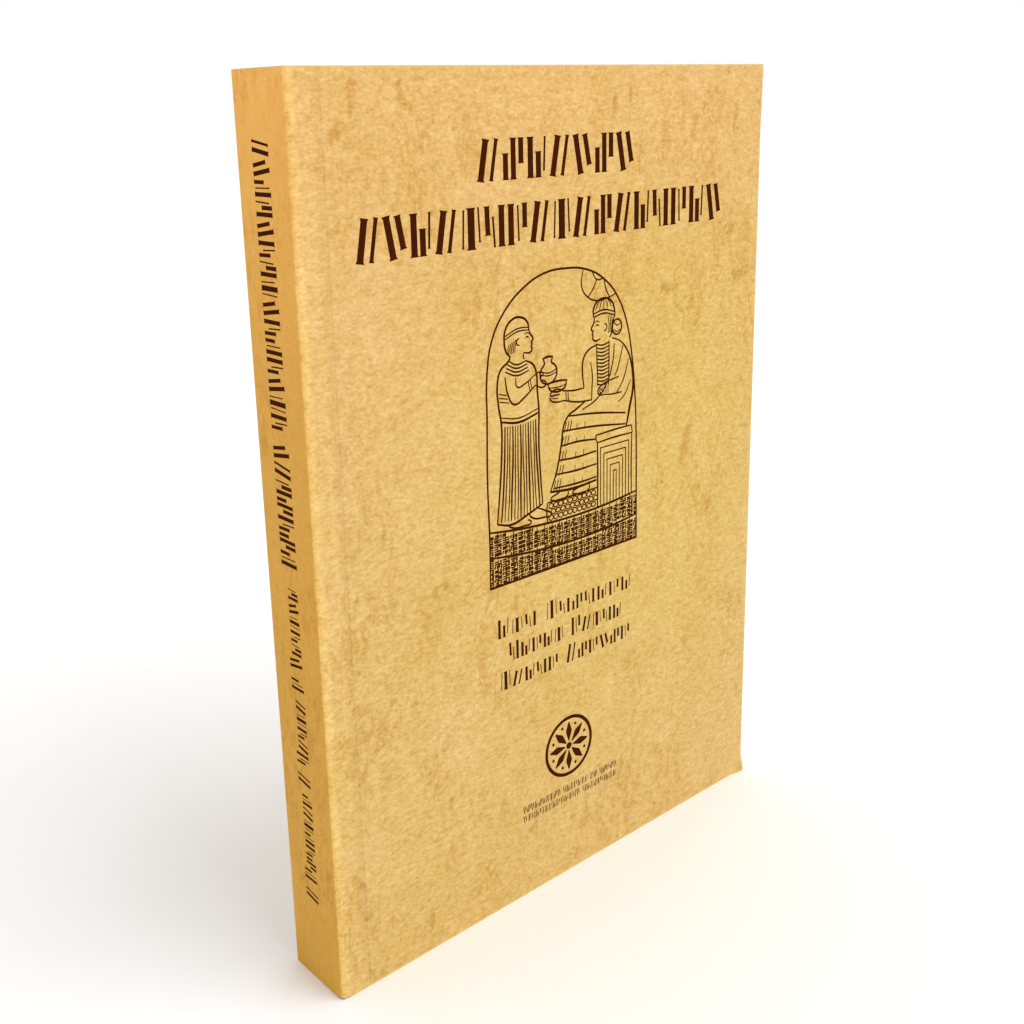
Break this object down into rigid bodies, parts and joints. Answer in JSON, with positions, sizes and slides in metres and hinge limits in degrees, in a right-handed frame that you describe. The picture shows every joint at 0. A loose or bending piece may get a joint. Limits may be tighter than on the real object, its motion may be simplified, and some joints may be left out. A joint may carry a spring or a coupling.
{
  "type": "paperback book",
  "caption": "Perfect-bound paperback standing closed on its tail: a block of leaves glued into a creased parchment-look card cover that opens at front and back.",
  "frame": {"origin": "middle of the tail, on the surface the closed book stands on", "axes": "+Z from tail to head, +X from the spine to the fore-edge, the front cover faces -Y"},
  "size_m": [0.17, 0.023, 0.24],
  "materials": {
    "page_paper": "uncoated, trimmed edges",
    "cover_card": "matt parchment-look card",
    "printing_ink": "dark brown print on matt card"
  },
  "bodies": {
    "book": {"text_block": "page_paper", "cover_spine": "cover_card"},
    "front_cover": {"front_cover": "cover_card"},
    "back_cover": {"back_cover": "cover_card"}
  },
  "joints": [
    {"name": "front_cover_fold", "type": "hinge", "parent": "book", "child": "front_cover", "pos_m": [-0.076, -0.0115, 0.12], "axis": [0, 0, -1], "range_deg": [0, 175], "stiffness_Nm_per_rad": 0.002},
    {"name": "back_cover_fold", "type": "hinge", "parent": "book", "child": "back_cover", "pos_m": [-0.076, 0.0115, 0.12], "axis": [0, 0, 1], "range_deg": [0, 175], "stiffness_Nm_per_rad": 0.002}
  ]
}
